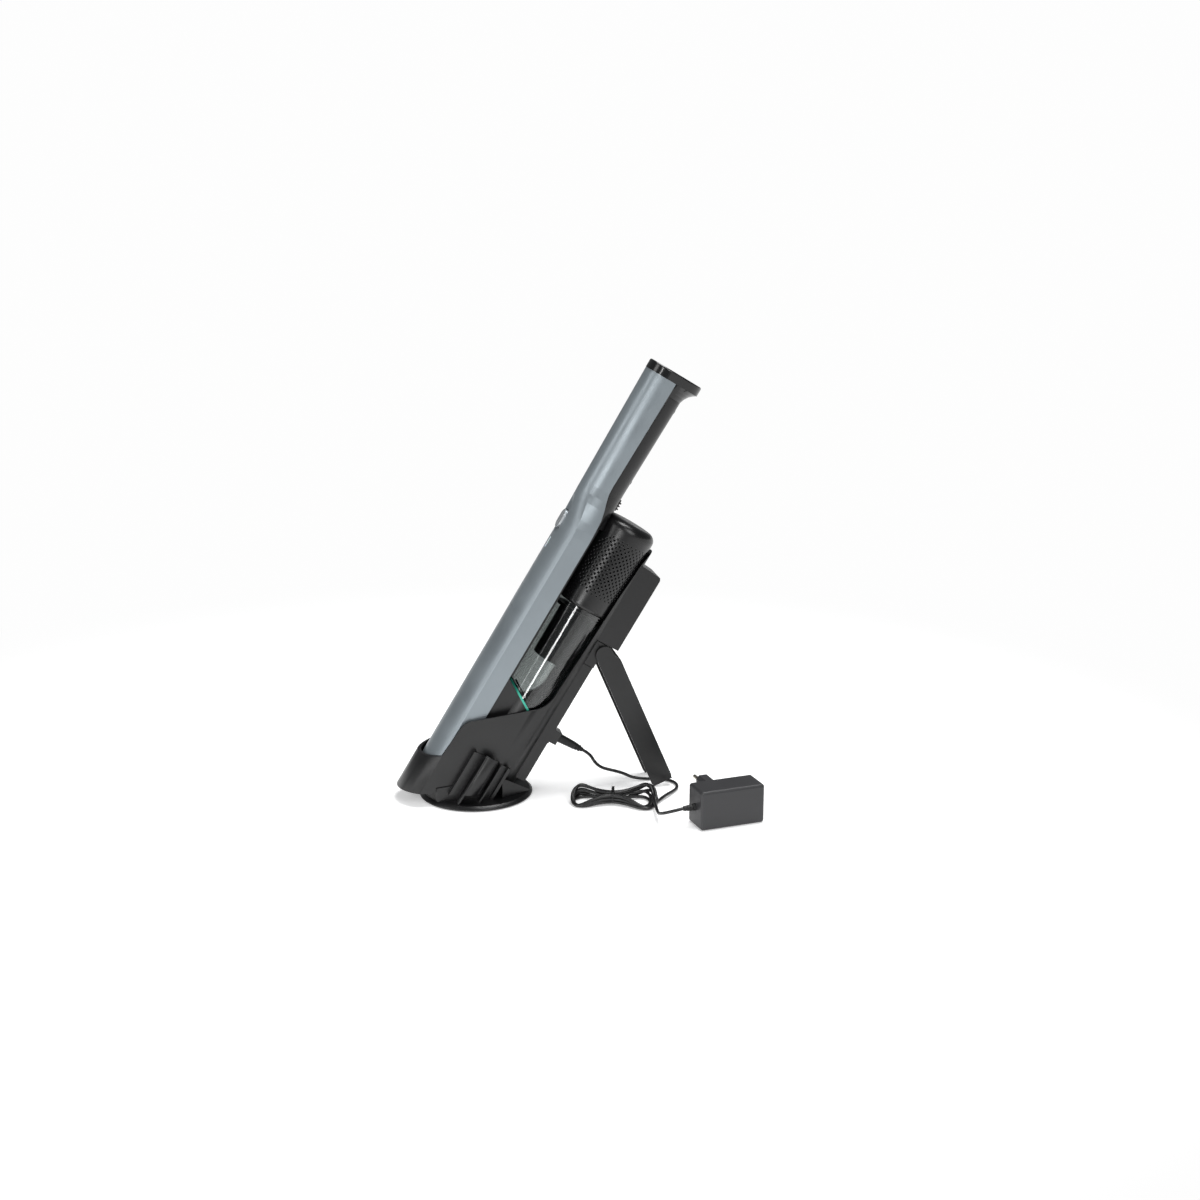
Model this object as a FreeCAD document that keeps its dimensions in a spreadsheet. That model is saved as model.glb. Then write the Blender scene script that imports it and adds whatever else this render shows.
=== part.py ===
"""Cordless handheld vacuum on its charging stand, with lead and mains adapter.

World frame: origin on the floor under the centre of the round base disc, X towards the
kickstand, Y away from the viewer's side, Z up, in millimetres.
The vacuum and the stand's cradle share one leaning frame: x runs from the painted top of the
vacuum towards the spine of the stand, y is across, and z runs along the vacuum to its end cap.
"""
import FreeCAD, Part
import math
import os
from FreeCAD import Placement, Rotation, Vector

doc = FreeCAD.newDocument("handheld_vacuum")

# ---------------------------------------------------------------- dimensions
DIMENSIONS = {
    # leaning frame and stand
    "lean_angle": 31.3, "lean_x": -54.7, "lean_z": 51.0,
    "disc_radius": 57.5, "disc_low": 0.6, "disc_top": 5.0, "pad_radius": 52.0, "pad_thick": 1.2,
    "floor_top": 17.0, "sleeve_low": 13.8, "nose_height": 17.5,
    # painted shell of the vacuum
    "shell_top": 3.6, "crease_depth": 15.5, "crease_half": 28.0, "back_depth": 34.0, "back_half": 27.0,
    "grip_top": 1.6, "grip_crease": 12.0, "grip_crease_half": 16.2, "grip_back": 27.6, "grip_half": 18.8,
    "cap_top": -0.2, "cap_crease": 11.0, "cap_crease_half": 17.0, "cap_back": 29.2, "cap_half": 19.8,
    "shell_wall": 2.2, "neck_low": 266.0, "neck_high": 318.0, "cap_seat": 444.0, "cap_thick": 9.5,
    "grip_belly": 45.8, "cap_belly": 47.6, "cap_reach": 58.7, "grip_wall": 2.4, "skirt_low": 430.0,
    # motor housing and dust cup, round about one axis
    "axis_depth": 69.0, "housing_radius": 29.0, "housing_low": 207.0, "housing_high": 303.0,
    "housing_wall": 2.4, "housing_round": 9.0, "cup_radius": 27.6, "cup_wall": 1.8,
    "cup_top": 190.0, "collar_radius": 28.4, "seal_radius": 28.0, "seal_thick": 2.4,
    "bore_radius": 10.0, "flap_radius": 11.5, "flap_thick": 1.2,
    "filter_low": 143.0, "filter_radius": 20.0, "filter_wall": 2.0,
    "can_radius": 18.0, "can_bore": 10.5, "shaft_radius": 2.0, "shaft_gap": 0.03, "rotor_radius": 9.8,
    "bearing_radius": 6.0, "impeller_radius": 19.0, "shroud_radius": 21.5,
    # button, battery and board
    "button_place": 273.0, "button_long": 20.0, "button_wide": 14.0, "button_gap": 0.4,
    "cell_radius": 9.2, "cell_long": 65.0, "board_thick": 1.6,
    # cradle of the stand
    "cradle_half": 32.3, "cavity_half": 29.6, "cradle_front": -2.8, "cavity_front": 0.3, "arch_depth": 14.0,
    "cradle_high": 292.0, "spine_half": 19.0, "spine_back": 106.0, "head_back": 119.5, "head_half": 20.0,
    "head_low": 185.5, "head_high": 271.0, "cover_wall": 2.2, "screw_radius": 1.4, "screw_head": 3.0,
    # kickstand
    "pivot_depth": 109.4, "pivot_height": 175.5, "pin_radius": 2.5, "pin_gap": 0.05, "leg_half": 22.0,
    "leg_wall": 2.6, "knuckle_radius": 9.2, "leg_back": 13.0, "leg_angle": 22.9, "leg_long": 152.8,
    "slot_half": 12.0, "slot_start": 88.0, "foot_thick": 3.0,
    # jack, plug, cord and adapter
    "jack_height": 74.5, "jack_face": 118.0, "barrel_radius": 2.75, "plug_tail": 148.0,
    "cord_radius": 1.6,
    "adapter_x": 199.1, "adapter_y": -149.7, "adapter_turn": 9.8, "adapter_long": 67.5,
    "adapter_deep": 31.8, "adapter_tall": 39.7, "adapter_wall": 2.2, "adapter_split": 16.6,
    "pin_length": 19.0, "pin_half_gap": 9.3, "mains_pin_radius": 2.0,
}
sheet = doc.addObject("Spreadsheet::Sheet", "Dimensions")
for row, (alias, number) in enumerate(DIMENSIONS.items(), start=1):
    sheet.set(f"A{row}", alias)
    sheet.set(f"B{row}", str(number))
    sheet.setAlias(f"B{row}", alias)
doc.recompute()


def dim(alias):
    """Value of one cell, in millimetres or degrees."""
    return float(sheet.get(alias))


def cell(expression):
    """Expression text with every alias in it pointing at the sheet."""
    words = sorted(DIMENSIONS, key=len, reverse=True)
    pieces = expression.replace("(", " ( ").replace(")", " ) ").split()
    return " ".join(f"Dimensions.{piece}" if piece in words else piece for piece in pieces)


# ---------------------------------------------------------------- frames
UPRIGHT = Rotation()
LEAN = Placement(Vector(dim("lean_x"), 0, dim("lean_z")), Rotation(Vector(0, 1, 0), dim("lean_angle")))
WORLD = Placement()
AXIS = LEAN.multiply(Placement(Vector(dim("axis_depth"), 0, 0), UPRIGHT))


def side(x, z):
    """World point of the middle plane, as (depth, height) in the leaning frame."""
    local = LEAN.inverse().multVec(Vector(x, 0, z))
    return local.x, local.z


def world(depth, across, height):
    """Leaning-frame point in the world frame."""
    return LEAN.multVec(Vector(depth, across, height))


def level(depth, z):
    """Height in the leaning frame of the point at this depth that lies at world height z."""
    lean = math.radians(dim("lean_angle"))
    return (z - dim("lean_z") + depth * math.sin(lean)) / math.cos(lean)


# ---------------------------------------------------------------- building helpers
PARTS = []


def keep(solid, label, frame=WORLD):
    """Name a finished sub-part and set it in its frame."""
    solid.Label = label
    solid.Placement = frame.multiply(solid.Placement)
    PARTS.append(solid)
    return solid


def primitive(kind, at=(0, 0, 0), turn=UPRIGHT, **sizes):
    """Part primitive whose sizes are expressions of the sheet or plain numbers."""
    solid = doc.addObject(kind, "solid")
    for name, size in sizes.items():
        if isinstance(size, str):
            solid.setExpression(name, cell(size))
        else:
            setattr(solid, name, size)
    solid.Placement = Placement(Vector(*at), turn)
    return solid


def box(low, high):
    """Box between two corners."""
    return primitive("Part::Box", low, Length=high[0] - low[0], Width=high[1] - low[1], Height=high[2] - low[2])


def rod(radius, height, at=(0, 0, 0), turn=UPRIGHT):
    """Cylinder along its own z."""
    return primitive("Part::Cylinder", at, turn, Radius=radius, Height=height)


def fuse(*solids):
    """Solids joined into one."""
    joined = doc.addObject("Part::MultiFuse", "joined")
    joined.Shapes = list(solids)
    joined.Refine = True
    return joined


def cut(base, *tools):
    """Base with every tool taken away."""
    result = doc.addObject("Part::Cut", "cut")
    result.Base = base
    result.Tool = tools[0] if len(tools) == 1 else group(*tools)
    return result


def common(first, second):
    """What two solids share."""
    result = doc.addObject("Part::MultiCommon", "shared")
    result.Shapes = [first, second]
    return result


def group(*solids):
    """Separate solids in one object."""
    result = doc.addObject("Part::Compound", "group")
    result.Links = list(solids)
    return result


def tube(outer, inner, height, at=(0, 0, 0)):
    """Round sleeve along z."""
    return cut(rod(outer, height, at), rod(inner, height, at))


def edges_of(outline):
    """Closed outline of points, where ("arc", middle, end) replaces a point by a curved stretch."""
    start = outline[0]
    here = start
    edges = []
    for step in list(outline[1:]) + [start]:
        if step[0] == "arc":
            edges.append(Part.Arc(Vector(*here), Vector(*step[1]), Vector(*step[2])))
            here = step[2]
        elif math.dist(here, step) > 1e-6:
            edges.append(Part.LineSegment(Vector(*here), Vector(*step)))
            here = step
    return edges


def sketch(owner, role, offset, outline):
    """Sketch of one closed outline on a body's own plane."""
    plane = [feature for feature in owner.Origin.OriginFeatures if feature.Role == role][0]
    drawing = owner.newObject("Sketcher::SketchObject", "outline")
    drawing.AttachmentSupport = (plane, [""])
    drawing.MapMode = "FlatFace"
    drawing.AttachmentOffset = Placement(Vector(0, 0, offset), UPRIGHT)
    drawing.addGeometry(edges_of(outline), False)
    return drawing


def pad(outline, role, offset, length, symmetric=False):
    """Body with one pad; XZ_Plane outlines are (depth, height) and grow towards -y."""
    owner = doc.addObject("PartDesign::Body", "body")
    feature = owner.newObject("PartDesign::Pad", "pad")
    feature.Profile = sketch(owner, role, offset, outline)
    feature.SideType = "Symmetric" if symmetric else "One side"
    if isinstance(length, str):
        feature.setExpression("Length", cell(length))
    else:
        feature.Length = length
    return owner


def slab(outline, width):
    """Side outline made symmetric about the middle plane."""
    return pad(outline, "XZ_Plane", 0, width, symmetric=True)


def column(outline, low, high):
    """Cross-section outline pushed up from low to high."""
    return pad(outline, "XY_Plane", low, high - low)


def loft(sections):
    """Straight-sided loft through (height, outline) sections."""
    owner = doc.addObject("PartDesign::Body", "body")
    drawings = [sketch(owner, "XY_Plane", height, outline) for height, outline in sections]
    feature = owner.newObject("PartDesign::AdditiveLoft", "loft")
    feature.Profile = drawings[0]
    feature.Sections = drawings[1:]
    feature.Ruled = True
    return owner


def turned(outline, angle_axis="V_Axis"):
    """Body revolved about z from a half outline of (radius, height) points."""
    owner = doc.addObject("PartDesign::Body", "body")
    feature = owner.newObject("PartDesign::Revolution", "turned")
    drawing = sketch(owner, "XZ_Plane", 0, outline)
    feature.Profile = drawing
    feature.ReferenceAxis = (drawing, [angle_axis])
    feature.Angle = 360
    return owner


def below(z, reach=160):
    """Everything under a world height, as a slab in the leaning frame."""
    corners = [side(-reach, z), side(reach, z), side(reach, z - reach), side(-reach, z - reach)]
    return slab(corners, 2 * reach)


def over_disc(radius, low, high):
    """Upright cylinder about the disc's centre between two world heights, in the leaning frame."""
    upright = rod(radius, high - low, (0, 0, low))
    upright.Placement = LEAN.inverse().multiply(upright.Placement)
    return upright


ACROSS = Rotation(Vector(1, 0, 0), 90)
DEEP = Rotation(Vector(0, 1, 0), 90)


# ---------------------------------------------------------------- painted shell
def ease(height, low, high):
    """Smooth step from 0 at low to 1 at high."""
    share = min(max((height - low) / (high - low), 0), 1)
    return share * share * (3 - 2 * share)


def mix(share, first, second):
    """Value between two cells."""
    return first + share * (second - first)


def shell_measure(height):
    """Top, crease, crease half-width, back edge and back half-width of the shell."""
    narrow = ease(height, dim("neck_low"), dim("neck_high"))
    rise = ease(height, dim("neck_low") + 24, dim("neck_high") + 6)
    taper = max((height - dim("neck_high")) / (dim("cap_seat") - dim("neck_high")), 0)
    rows = []
    for body_word, grip_word, cap_word, share in (
            ("shell_top", "grip_top", "cap_top", narrow),
            ("crease_depth", "grip_crease", "cap_crease", narrow),
            ("crease_half", "grip_crease_half", "cap_crease_half", narrow),
            ("back_depth", "grip_back", "cap_back", rise),
            ("back_half", "grip_half", "cap_half", narrow)):
        grip = mix(taper, dim(grip_word), dim(cap_word))
        rows.append(mix(share, dim(body_word), grip))
    bulge = mix(narrow, 0.3, 1.6)
    return rows + [bulge]


def shell_outline(height, inset):
    """Arched top and two bulged sides, open side closed by a straight line."""
    top, crease, crease_half, back, back_half, bulge = shell_measure(height)
    top += inset
    crease += inset * 0.6
    crease_half -= inset
    back_half -= inset
    back += 1.0 if inset else 0.0
    middle = ((crease + back) / 2, (crease_half + back_half) / 2 + bulge)
    return [(crease, crease_half), ("arc", (top, 0), (crease, -crease_half)),
            ("arc", (middle[0], -middle[1]), (back, -back_half)), (back, back_half),
            ("arc", middle, (crease, crease_half))]


NECK_STEPS = [dim("neck_low") + step * (dim("neck_high") - dim("neck_low")) / 6 for step in range(7)]
SHELL_HEIGHTS = [-50.0] + NECK_STEPS + [dim("neck_high") + 8, dim("cap_seat")]


def scoop(grow=0.0):
    """Long shallow hollow round the power button."""
    return primitive("Part::Ellipsoid", (-6.0, 0, dim("button_place") + 4), Radius1=31.0 + grow, Radius2=12.5 + grow,
                     Radius3=15.0 + grow, Angle1=-90, Angle2=90, Angle3=360)


def upper_shell():
    """Long painted top shell with its panel recess, button hollow and openings."""
    outer = loft([(height, shell_outline(height, 0)) for height in SHELL_HEIGHTS])
    heights = [-52.0] + SHELL_HEIGHTS[1:-1] + [dim("cap_seat") + 2]
    inner = loft([(height, shell_outline(height, dim("shell_wall"))) for height in heights])
    place = dim("button_place")
    half_long = dim("button_long") / 2 + dim("button_gap")
    half_wide = dim("button_wide") / 2 + dim("button_gap")
    opening = box((-6, -half_wide, place - half_long), (10, half_wide, place + half_long))
    light_hole = box((-6, -1.6, 240), (8, 1.6, 252))
    room = cut(inner, scoop(dim("shell_wall")))
    keep(cut(outer, room, below(dim("nose_height")), panel_recess(0), scoop(), opening, light_hole),
         "upper_shell", LEAN)


def panel_recess(shrink):
    """Strip along the top of the shell, sunk 1.1 mm, that the trim panel fills."""
    half = 9.0 - shrink
    sunk = dim("shell_top") + 1.1
    edge = sunk + half ** 2 / (2 * 38.0)
    outline = [(-2.0, -half), (-2.0, half), (edge, half), ("arc", (sunk, 0), (edge, -half))]
    return column(outline, 173 + shrink, 261 - shrink)


def top_panel():
    """Thin trim strip in the shell's recess, with the hole for its light lens."""
    half = 8.8
    sunk = dim("shell_top") + 1.05
    face = dim("shell_top") + 0.15
    bend = half ** 2 / (2 * 38.0)
    outline = [(face + bend, half), ("arc", (face, 0), (face + bend, -half)),
               (sunk + bend, -half), ("arc", (sunk, 0), (sunk + bend, half))]
    keep(cut(column(outline, 173.2, 260.8), box((-6, -1.6, 240), (8, 1.6, 252)), scoop(0.1)), "top_panel", LEAN)


def stadium(middle, half_long, half_wide):
    """Rounded bar outline across y and along z, centred on a height."""
    low, high = middle - half_long + half_wide, middle + half_long - half_wide
    return [(half_wide, low), (half_wide, high), ("arc", (0, high + half_wide), (-half_wide, high)),
            (-half_wide, low), ("arc", (0, low - half_wide), (half_wide, low))]


def button_parts():
    """Power button with its plunger, the switch it presses, the board and the light lens."""
    place = dim("button_place")
    cap = pad(stadium(place, dim("button_long") / 2, dim("button_wide") / 2), "YZ_Plane", 2.2, 6.6)
    plunger = rod(1.6, 1.0, (8.8, 0, place), DEEP)
    keep(fuse(cap, plunger), "power_button", LEAN)
    board = 15.0
    keep(fuse(box((11.9, -3, place - 3), (board, 3, place + 3)), rod(1.5, 0.6, (11.4, 0, place), DEEP)),
         "power_switch", LEAN)
    keep(box((board, -10, 196), (board + dim("board_thick"), 10, 292)), "control_board", LEAN)
    lens = pad(stadium(246, 5.9, 1.5), "YZ_Plane", dim("shell_top") + 0.1, 3.4)
    keep(lens, "indicator_lens", LEAN)


# ---------------------------------------------------------------- black underside and grip
def lower_chassis():
    """Black plate that closes the shell's open side, with the keel that carries cup and motor."""
    plate = box((31.4, -24.4, 42), (34.0, 24.4, 262))
    keel = box((34.0, -8.0, 111), (46.0, 8.0, 283.2))
    axis = dim("axis_depth")
    rooms = [rod("collar_radius + 0.15", 110, (axis, 0, 97)), rod("housing_radius + 0.15", 90, (axis, 0, 205))]
    keep(cut(fuse(plate, keel), *rooms), "lower_chassis", LEAN)


def grip_outline(front, half, belly, inset):
    """Half-round grip section from the shell's edge to its belly."""
    return [(front, half - inset), ("arc", (belly - inset, 0), (front, -(half - inset)))]


def handle_grip():
    """Black underside of the handle, hollow for the battery."""
    rows = []
    for height in NECK_STEPS[2:] + [dim("neck_high") + 8]:
        _, _, _, back, back_half, _ = shell_measure(height)
        rows.append((height, back, back_half, mix(ease(height, 284, 322), 46.6, dim("grip_belly"))))
    _, _, _, back, back_half, _ = shell_measure(dim("skirt_low"))
    share = (dim("skirt_low") - dim("neck_high")) / (dim("cap_seat") - dim("neck_high"))
    rows.append((dim("skirt_low"), back, back_half, mix(share, dim("grip_belly"), dim("cap_belly"))))
    outer = loft([(height, grip_outline(front, half, belly, 0)) for height, front, half, belly in rows])
    wall = dim("grip_wall")
    rows[0] = (rows[0][0] + 4,) + rows[0][1:]
    rows[-1] = (rows[-1][0] + 1,) + rows[-1][1:]
    inner = loft([(height, grip_outline(front - 0.01, half, belly, wall)) for height, front, half, belly in rows])
    motor_room = rod("housing_radius + 0.15", 40, (dim("axis_depth"), 0, dim("housing_high") + 0.15 - 40))
    slot = box((40, -5.4, 305.5), (52, 5.4, 322.0))
    screw_rooms = [screw(face, 0, height, GRIP_SHANK, 0.05) for face, height in GRIP_SCREWS]
    keep(cut(outer, inner, motor_room, slot, *screw_rooms), "handle_grip", LEAN)


GRIP_SCREWS = ((46.3, 338.0), (47.5, 420.0))
GRIP_SHANK = 2.2


def screw(face, across, height, shank, grow=0.0):
    """Countersunk screw seated in a face that looks towards +x, growing towards -x."""
    head = rod(dim("screw_head") + grow, 1.2 + (8 if grow else 0), (face - 1.2, across, height), DEEP)
    thread = rod(dim("screw_radius") + grow, shank + 0.4, (face - 1.2 - shank, across, height), DEEP)
    return fuse(head, thread)


def release_slider():
    """Ribbed catch on the back of the neck that frees the dust cup."""
    ribs = [box((46.4, -4.6, 307.6 + 3.2 * step), (48.0, 4.6, 309.0 + 3.2 * step)) for step in range(3)]
    keep(fuse(box((43.6, -5.0, 306.0), (46.4, 5.0, 318.0)), *ribs), "cup_release", LEAN)


def end_cap():
    """Flat end cap that hooks out over the back of the grip."""
    front, half = dim("cap_top") - 0.2, 20.2
    reach = dim("cap_reach")
    oval = [(front + half, half), ("arc", (front, 0), (front + half, -half)),
            (reach - half, -half), ("arc", (reach, 0), (reach - half, half))]
    lid = column(oval, dim("cap_seat"), dim("cap_seat") + dim("cap_thick"))
    top_round = doc.addObject("Part::Fillet", "rounded")
    top_round.Base = lid
    doc.recompute()
    high = dim("cap_seat") + dim("cap_thick") - 0.01
    rim = [(number, 1.6, 1.6) for number, edge in enumerate(lid.Shape.Edges, start=1) if edge.BoundBox.ZMin > high]
    top_round.Edges = rim
    _, _, _, low_back, low_half, _ = shell_measure(dim("skirt_low"))
    share = (dim("skirt_low") - dim("neck_high")) / (dim("cap_seat") - dim("neck_high"))
    low_belly = mix(share, dim("grip_belly"), dim("cap_belly"))
    steps = [(0.0, 0.0), (0.35, 0.16), (0.65, 0.42), (0.85, 0.70), (1.0, 1.0)]
    outer_rows, inner_rows = [], []
    for share, flare in steps:
        height = mix(share, dim("skirt_low"), dim("cap_seat"))
        front = mix(share, low_back, dim("cap_back"))
        side_half = mix(share, low_half, dim("cap_half"))
        belly = mix(flare, low_belly, reach - 0.4)
        outer_rows.append((height, grip_outline(front, side_half, belly, 0)))
        inner_belly = low_belly - dim("grip_wall")
        inner_rows.append((height, grip_outline(front - 0.01, side_half - dim("grip_wall"), inner_belly, 0)))
    skirt = cut(loft(outer_rows), loft(inner_rows))
    keep(fuse(top_round, skirt), "end_cap", LEAN)


# ---------------------------------------------------------------- battery
def battery():
    """Four round cells, two bands that hold them and the strips that join them."""
    centres = (13.9, 32.5)
    rows = (311.0, 377.2)
    cells = [rod("cell_radius", "cell_long", (depth, 0, low)) for depth in centres for low in rows]
    keep(group(*cells), "battery_cells", LEAN)
    bands = []
    for low in (334.0, 404.0):
        for depth in centres:
            bands.append((depth, low))
    outer = [rod("cell_radius + 0.6", 12, (depth, 0, low)) for depth, low in bands]
    inner = [rod("cell_radius", 12, (depth, 0, low)) for depth, low in bands]
    keep(cut(fuse(*outer), group(*inner)), "battery_bands", LEAN)
    strips = [box((9, -3, 376.4), (37, 3, 376.8)), box((9, -3, 442.6), (37, 3, 443.0))]
    keep(group(*strips), "battery_strips", LEAN)


# ---------------------------------------------------------------- motor unit
def motor_unit():
    """Housing, motor, bearings, shroud and filter, stacked along the cup's axis."""
    low, high = dim("housing_low"), dim("housing_high")
    radius, wall, round_off = dim("housing_radius"), dim("housing_wall"), dim("housing_round")
    corner = round_off * (1 - math.sqrt(0.5))
    inner_corner = (round_off - wall) * (1 - math.sqrt(0.5))
    housing = turned([
        (radius, low), (radius, high - round_off),
        ("arc", (radius - corner, high - corner), (radius - round_off, high)),
        (0, high), (0, high - wall), (radius - round_off, high - wall),
        ("arc", (radius - wall - inner_corner, high - wall - inner_corner), (radius - wall, high - round_off)),
        (radius - wall, low)])
    pads = [box((24.9, across - 2.2, 234), (30, across + 2.2, 246)) for across in (-6, 6)]
    keep(cut(housing, *pads), "motor_housing", AXIS)
    plates = [box((26.5, across - 2.2, 234), (27.7, across + 2.2, 246)) for across in (-6, 6)]
    keep(group(*plates), "charge_contacts", AXIS)
    keep(tube("can_radius", "can_bore", 46, (0, 0, 242)), "motor_can", AXIS)
    mount = fuse(tube("housing_radius - housing_wall", "can_radius + 1.6", 2.4, (0, 0, 288)),
                 tube("can_radius + 1.6", "can_radius", 22, (0, 0, 268.4)))
    keep(mount, "motor_mount", AXIS)
    bearings = [tube("bearing_radius", "shaft_radius + shaft_gap", 4, (0, 0, height)) for height in (236, 292)]
    keep(group(*bearings), "motor_bearings", AXIS)
    plates = [cut(tube("can_radius", "bearing_radius", 4, (0, 0, height)), *vents(height))
              for height in (236, 292)]
    keep(group(*plates), "motor_end_plates", AXIS)
    keep(fuse(rod("shaft_radius", 84, (0, 0, 215)), tube("rotor_radius", "shaft_radius", 28, (0, 0, 251))),
         "motor_rotor", AXIS)
    hub = tube(5.0, "shaft_radius", 10, (0, 0, 219))
    disc = tube("impeller_radius", "shaft_radius", 1.4, (0, 0, 227.6))
    blades = [primitive("Part::Box", (4.5, -0.6, 219), Rotation(Vector(0, 0, 1), 0), Length=13.5, Width=1.2,
                        Height=9.0) for _ in range(9)]
    for number, blade in enumerate(blades):
        turn = Rotation(Vector(0, 0, 1), 40 * number)
        blade.Placement = Placement(turn.multVec(Vector(4.5, -0.6, 219)), turn)
    keep(fuse(hub, disc, *blades), "impeller", AXIS)
    keep(fuse(tube("shroud_radius", "shroud_radius - 1.5", 18, (0, 0, 214)),
              tube("housing_radius - housing_wall", "shroud_radius - 1.5", 1.6, (0, 0, 212.4))),
         "fan_shroud", AXIS)
    keep(tube("housing_radius - housing_wall - 0.2", "shroud_radius + 0.8", 52, (0, 0, 235)),
         "exhaust_filter", AXIS)


def vents(height):
    """Four air slots through a motor end plate."""
    slots = []
    for number in range(4):
        turn = Rotation(Vector(0, 0, 1), 45 + 90 * number)
        slots.append(rod(2.6, 6, tuple(turn.multVec(Vector(12, 0, height - 1)))))
    return slots


# ---------------------------------------------------------------- dust cup
SEAL_SLOPE = 0.62
SEAL_START = 109.0 + SEAL_SLOPE * 40.0


def seal_height(depth):
    """Height of the slanted joint between dust cup and nose, at a depth of the leaning frame."""
    return SEAL_START - SEAL_SLOPE * depth


def under_seal(lift, reach=60):
    """Everything below the slanted joint raised by lift, about the cup's axis."""
    middle = dim("axis_depth")
    left, right = -reach, reach
    return slab([(left, -100), (right, -100), (right, seal_height(middle + right) + lift),
                 (left, seal_height(middle + left) + lift)], 2 * reach)


INLET = (60.0, seal_height(60.0))
BORE_FROM = (28.0, level(28.0, dim("nose_height")))
BORE_TILT = math.degrees(math.atan2(INLET[0] - BORE_FROM[0], INLET[1] - BORE_FROM[1]))


def bore(radius, stretch=(-12.0, 8.0), origin=0.0):
    """Straight air passage from the nose mouth to the dust cup's inlet."""
    turn = Rotation(Vector(0, 1, 0), BORE_TILT)
    length = math.dist(BORE_FROM, INLET)
    start = Vector(BORE_FROM[0] - origin, 0, BORE_FROM[1]) + turn.multVec(Vector(0, 0, stretch[0]))
    return rod(radius, length - stretch[0] + stretch[1], tuple(start), turn)


def dust_cup():
    """Clear cup with its slanted floor, collar, seal, and the filter that hangs in it."""
    low = 50.0
    top = dim("cup_top")
    outer = cut(rod("cup_radius", top - low, (0, 0, low)), under_seal(0))
    inner = cut(rod("cup_radius - cup_wall", top - low + 1, (0, 0, low)), under_seal(2.0))
    keep(cut(outer, inner, bore(dim("bore_radius"), origin=dim("axis_depth"))), "dust_cup", AXIS)
    keep(tube("collar_radius", "cup_radius - cup_wall", 16.6, (0, 0, top)), "cup_collar", AXIS)
    plate = cut(rod("seal_radius", 80, (0, 0, 60)), under_seal(-dim("seal_thick")))
    above = cut(rod("seal_radius + 1", 100, (0, 0, 60)), under_seal(0))
    keep(cut(plate, above, bore(dim("bore_radius"), origin=dim("axis_depth"))), "cup_seal", AXIS)
    radius = dim("filter_radius")
    wall = dim("filter_wall")
    filter_low = dim("filter_low")
    keep(turned([(0, filter_low), (radius, filter_low), (radius, 198.0), (25.6, 198.0), (25.6, 201.0),
                 (radius - wall, 201.0), (radius - wall, filter_low + 2), (0, filter_low + 2)]),
         "filter_frame", AXIS)
    keep(tube(radius - wall - 0.3, 9.0, 50, (0, 0, filter_low + 2.2)), "pleated_filter", AXIS)


def inlet_flap():
    """Soft flap inside the cup that keeps the dust in, hinged at its upper edge."""
    turn = Rotation(Vector(0, 1, 0), math.degrees(math.atan(SEAL_SLOPE)))
    frame = LEAN.multiply(Placement(Vector(INLET[0], 0, INLET[1]), turn))
    lift = 2.3
    disc = rod("flap_radius", "flap_thick", (0, 0, lift))
    tongue = box((-13.0, -6, lift), (-6, 6, lift + dim("flap_thick")))
    barrel = rod(1.0, 12, (-13.0, 6, lift + 0.8), ACROSS)
    keep(fuse(disc, tongue, barrel), "inlet_flap", frame)


def nose_profile(inset):
    """Side outline of the nose's underside, between its mouth and the slanted joint."""
    nose = dim("nose_height") + 1.25 * inset
    start, end = 34.0, 96.0 - inset
    joint = dim("seal_thick") + 1.2 * inset
    return slab([(start, level(start, nose)), (52 - 0.5 * inset, level(52 - 0.5 * inset, nose)),
                 (70 - 0.8 * inset, 8 + 0.6 * inset), (92 - inset, 44 + 0.6 * inset),
                 (end, seal_height(end) - joint), (start, seal_height(start) - joint)], 60)


def nose_solid(inset):
    """Nose moulding shrunk by an even wall: the shell's filling and the belly below it."""
    face = dim("nose_height") + 1.25 * inset
    filling = column(shell_outline(0, dim("shell_wall") + 0.15 + inset), -60, 60)
    inside = cut(common(filling, box((5, -30, -60), (34.05, 30, 41.8 - inset))), below(face))
    reach = 60 - inset
    rounding = fuse(rod(dim("cup_radius") - 0.4 - inset, 240, (dim("axis_depth"), 0, -70)),
                    box((34, -22 + inset, -70), (reach, 22 - inset, 170)))
    belly = common(nose_profile(inset), rounding)
    return fuse(inside, belly)


def nose_duct():
    """Hollow black nose moulding with the air passage from its mouth up to the cup."""
    wall = 2.4
    passage = common(nose_solid(0), bore(dim("bore_radius") + 2.0))
    keep(cut(fuse(cut(nose_solid(0), nose_solid(wall)), passage), bore(dim("bore_radius"))), "nose_duct", LEAN)


# ---------------------------------------------------------------- stand
def cradle_outline(front, half, arch_half):
    """Arched front, straight sides and half-round back of the cradle."""
    middle = dim("axis_depth")
    return [(dim("arch_depth"), arch_half), ("arc", (front, 0), (dim("arch_depth"), -arch_half)),
            (middle, -half), ("arc", (middle + half, 0), (middle, half))]


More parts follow.
